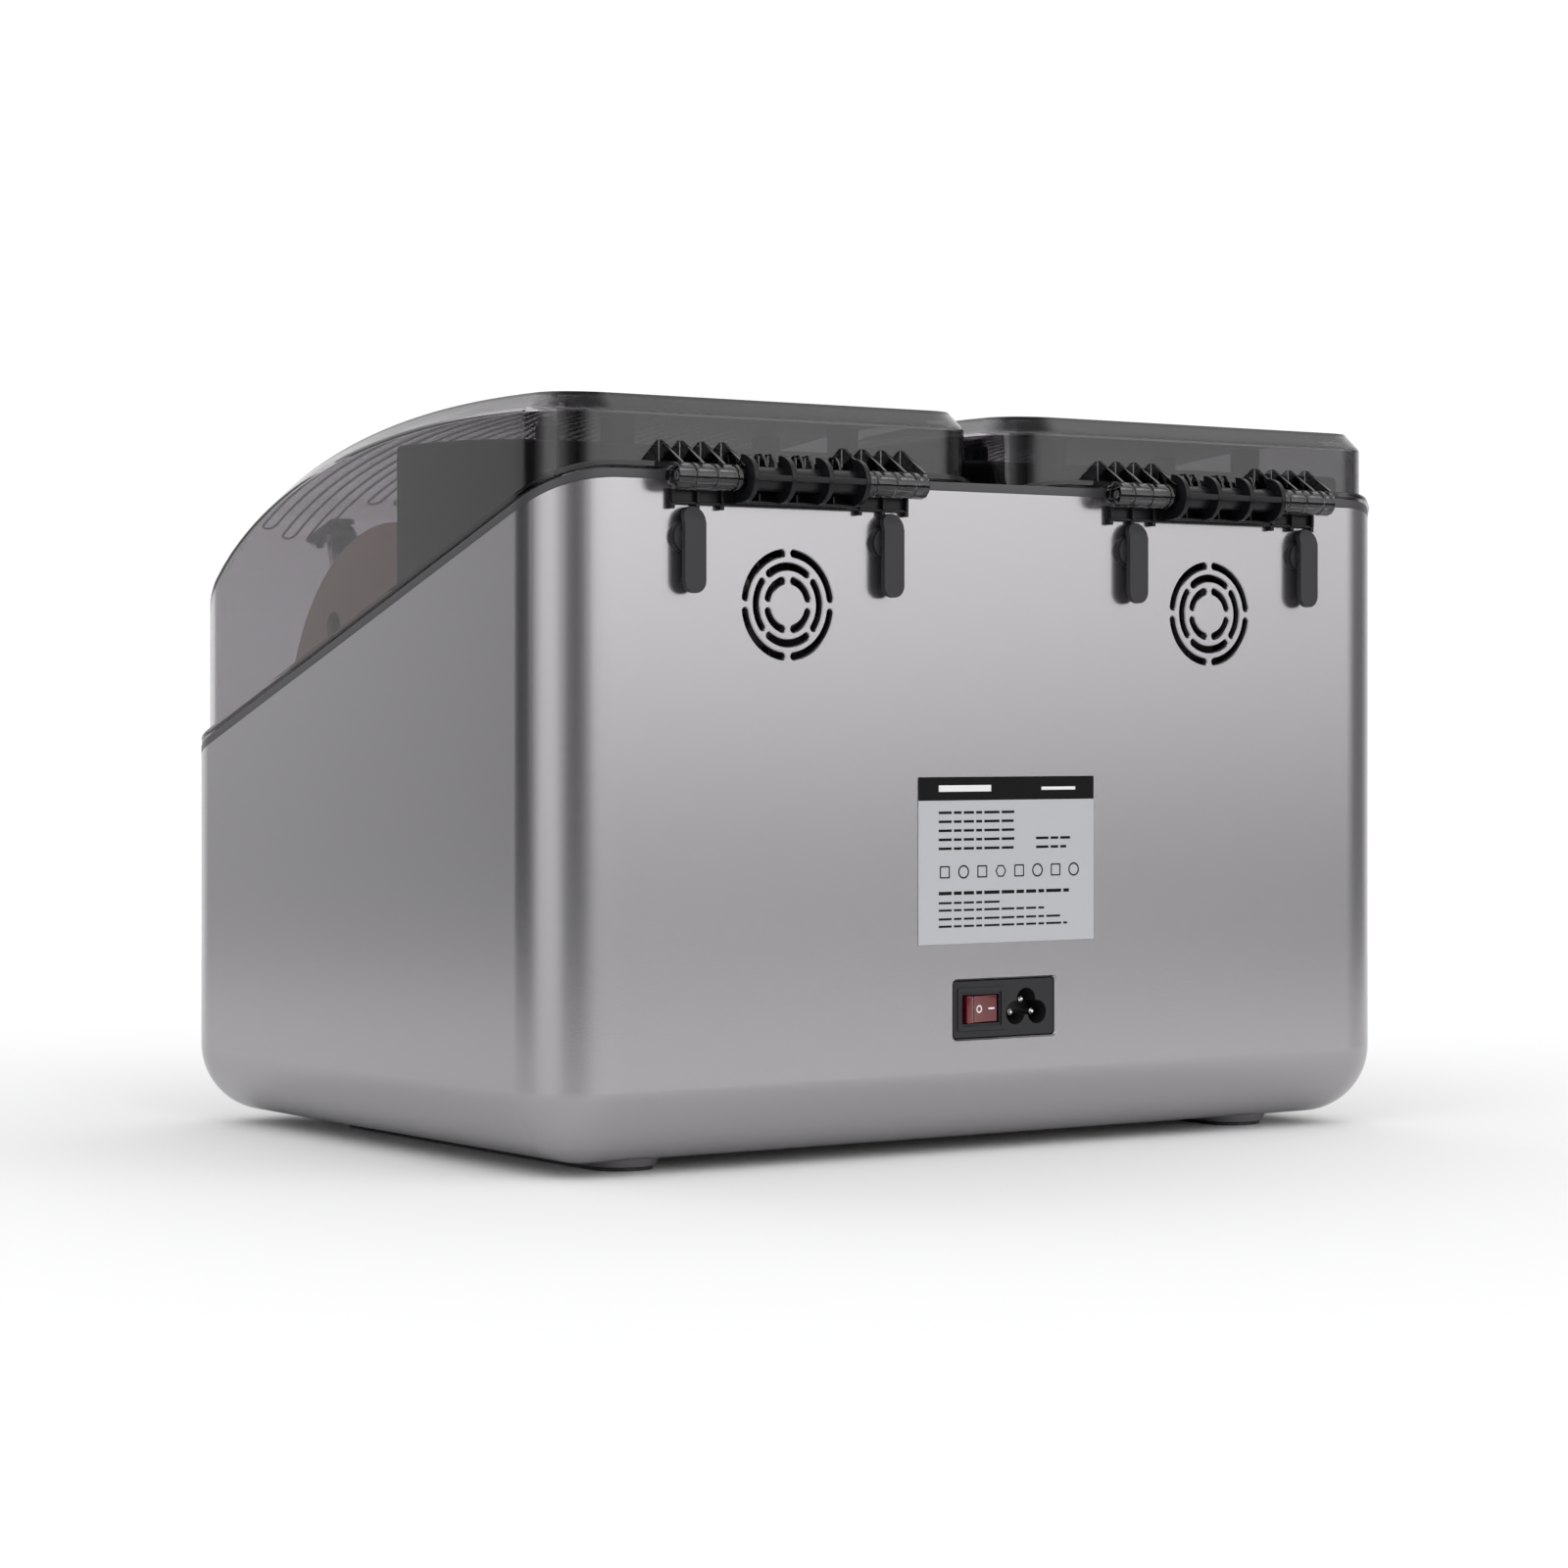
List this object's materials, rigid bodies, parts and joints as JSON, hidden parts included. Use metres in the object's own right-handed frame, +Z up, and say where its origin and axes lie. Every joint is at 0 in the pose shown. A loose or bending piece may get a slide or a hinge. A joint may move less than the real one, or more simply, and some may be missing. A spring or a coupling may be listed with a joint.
{
  "type": "filament dryer box",
  "caption": "Grey box that dries and feeds spools of printer filament, with two smoked lids hinged at the rear, spool rollers, fans and a mains inlet.",
  "frame": {"origin": "under the middle of the bounding box, on the surface that the foot pads stand on", "axes": "+X to the user's right along the long side, +Y from the front to the hinged rear, +Z up"},
  "size_m": [0.464, 0.364, 0.3255],
  "materials": {
    "housing_paint": "satin metallic grey paint",
    "smoked_plastic": "gloss, see-through",
    "black_plastic": "satin",
    "black_rubber": "matte",
    "steel": "bright",
    "heater_alloy": "plain",
    "cardboard": "matte brown card",
    "filament": "satin",
    "circuit_board": "satin",
    "display_glass": "gloss",
    "label_foil": "satin foil",
    "rocker_red": "gloss, slightly see-through"
  },
  "bodies": {
    "housing": {"base_cover": "black_plastic", "body_shell": "housing_paint", "chamber_tub_left": "black_plastic", "chamber_tub_right": "black_plastic", "cover_screw_1": "steel", "cover_screw_2": "steel", "cover_screw_3": "steel", "cover_screw_4": "steel", "display_window": "display_glass", "fan_frame_left": "black_plastic", "fan_frame_right": "black_plastic", "foot_pad_left": "black_rubber", "foot_pad_right": "black_rubber", "heater_core_left": "heater_alloy", "heater_core_right": "heater_alloy", "hinge_bracket_left": "black_plastic", "hinge_bracket_right": "black_plastic", "hinge_pin_left": "steel", "hinge_pin_right": "steel", "hinge_sleeve_left": "black_plastic", "hinge_sleeve_right": "black_plastic", "inlet_module": "black_plastic", "inlet_pin_1": "steel", "inlet_pin_2": "steel", "inlet_pin_3": "steel", "lid_seal_left": "black_rubber", "lid_seal_right": "black_rubber", "main_board": "circuit_board", "power_supply": "heater_alloy", "rating_label": "label_foil", "rim_frame": "black_plastic"},
    "lid_left": {"lid_shell_left": "smoked_plastic", "lid_grip_left": "black_plastic", "air_hood_left": "black_plastic"},
    "lid_right": {"lid_shell_right": "smoked_plastic", "lid_grip_right": "black_plastic", "air_hood_right": "black_plastic"},
    "rocker": {"rocker_switch": "rocker_red"},
    "spool": {"spool_core": "cardboard", "spool_flange_left": "cardboard", "spool_flange_right": "cardboard", "filament_winding": "filament"},
    "fan_left": {"fan_rotor_left": "black_plastic"},
    "fan_right": {"fan_rotor_right": "black_plastic"},
    "roller_1_front": {"roller_1_front": "black_rubber"},
    "front_plug_1": {"front_plug_1": "black_rubber"},
    "roller_1_rear": {"roller_1_rear": "black_rubber"},
    "rear_plug_1": {"rear_plug_1": "black_rubber"},
    "roller_2_front": {"roller_2_front": "black_rubber"},
    "front_plug_2": {"front_plug_2": "black_rubber"},
    "roller_2_rear": {"roller_2_rear": "black_rubber"},
    "rear_plug_2": {"rear_plug_2": "black_rubber"},
    "roller_3_front": {"roller_3_front": "black_rubber"},
    "front_plug_3": {"front_plug_3": "black_rubber"},
    "roller_3_rear": {"roller_3_rear": "black_rubber"},
    "rear_plug_3": {"rear_plug_3": "black_rubber"},
    "roller_4_front": {"roller_4_front": "black_rubber"},
    "front_plug_4": {"front_plug_4": "black_rubber"},
    "roller_4_rear": {"roller_4_rear": "black_rubber"},
    "rear_plug_4": {"rear_plug_4": "black_rubber"}
  },
  "joints": [
    {"name": "lid_left_hinge", "type": "hinge", "parent": "housing", "child": "lid_left", "pos_m": [-0.1165, 0.172, 0.2904], "axis": [-1, 0, 0], "range_deg": [0, 95]},
    {"name": "lid_right_hinge", "type": "hinge", "parent": "housing", "child": "lid_right", "pos_m": [0.1165, 0.172, 0.2904], "axis": [-1, 0, 0], "range_deg": [0, 95]},
    {"name": "fan_left_spin", "type": "hinge", "parent": "housing", "child": "fan_left", "pos_m": [-0.1165, 0.1515, 0.2385], "axis": [0, 1, 0], "continuous": true},
    {"name": "fan_right_spin", "type": "hinge", "parent": "housing", "child": "fan_right", "pos_m": [0.1165, 0.1515, 0.2385], "axis": [0, 1, 0], "continuous": true},
    {"name": "rocker_tilt", "type": "hinge", "parent": "housing", "child": "rocker", "pos_m": [0.0136, 0.1618, 0.0639], "axis": [0, 0, 1], "range_deg": [-18, 0]},
    {"name": "spool_spin", "type": "hinge", "parent": "housing", "child": "spool", "pos_m": [0.1693, -0.0245, 0.1788], "axis": [1, 0, 0], "continuous": true},
    {"name": "roller_1_front_spin", "type": "hinge", "parent": "housing", "child": "roller_1_front", "pos_m": [-0.1693, -0.0845, 0.08744], "axis": [1, 0, 0], "continuous": true},
    {"name": "roller_1_rear_spin", "type": "hinge", "parent": "housing", "child": "roller_1_rear", "pos_m": [-0.1693, 0.0355, 0.08744], "axis": [1, 0, 0], "continuous": true},
    {"name": "roller_2_front_spin", "type": "hinge", "parent": "housing", "child": "roller_2_front", "pos_m": [-0.0677, -0.0845, 0.08744], "axis": [1, 0, 0], "continuous": true},
    {"name": "roller_2_rear_spin", "type": "hinge", "parent": "housing", "child": "roller_2_rear", "pos_m": [-0.0677, 0.0355, 0.08744], "axis": [1, 0, 0], "continuous": true},
    {"name": "roller_3_front_spin", "type": "hinge", "parent": "housing", "child": "roller_3_front", "pos_m": [0.0677, -0.0845, 0.08744], "axis": [1, 0, 0], "continuous": true},
    {"name": "roller_3_rear_spin", "type": "hinge", "parent": "housing", "child": "roller_3_rear", "pos_m": [0.0677, 0.0355, 0.08744], "axis": [1, 0, 0], "continuous": true},
    {"name": "roller_4_front_spin", "type": "hinge", "parent": "housing", "child": "roller_4_front", "pos_m": [0.1693, -0.0845, 0.08744], "axis": [1, 0, 0], "continuous": true},
    {"name": "roller_4_rear_spin", "type": "hinge", "parent": "housing", "child": "roller_4_rear", "pos_m": [0.1693, 0.0355, 0.08744], "axis": [1, 0, 0], "continuous": true},
    {"name": "rear_plug_1_pull", "type": "slide", "parent": "housing", "child": "rear_plug_1", "axis": [0, 1, 0], "range_m": [0, 0.018]},
    {"name": "front_plug_1_pull", "type": "slide", "parent": "lid_left", "child": "front_plug_1", "axis": [0, -0.309, 0.9511], "range_m": [0, 0.018]},
    {"name": "rear_plug_2_pull", "type": "slide", "parent": "housing", "child": "rear_plug_2", "axis": [0, 1, 0], "range_m": [0, 0.018]},
    {"name": "front_plug_2_pull", "type": "slide", "parent": "lid_left", "child": "front_plug_2", "axis": [0, -0.309, 0.9511], "range_m": [0, 0.018]},
    {"name": "rear_plug_3_pull", "type": "slide", "parent": "housing", "child": "rear_plug_3", "axis": [0, 1, 0], "range_m": [0, 0.018]},
    {"name": "front_plug_3_pull", "type": "slide", "parent": "lid_right", "child": "front_plug_3", "axis": [0, -0.309, 0.9511], "range_m": [0, 0.018]},
    {"name": "rear_plug_4_pull", "type": "slide", "parent": "housing", "child": "rear_plug_4", "axis": [0, 1, 0], "range_m": [0, 0.018]},
    {"name": "front_plug_4_pull", "type": "slide", "parent": "lid_right", "child": "front_plug_4", "axis": [0, -0.309, 0.9511], "range_m": [0, 0.018]}
  ],
  "couplings": [
    {"joint": "roller_4_front_spin", "follows": "spool_spin", "ratio": -11.111},
    {"joint": "roller_4_rear_spin", "follows": "spool_spin", "ratio": -11.111}
  ]
}
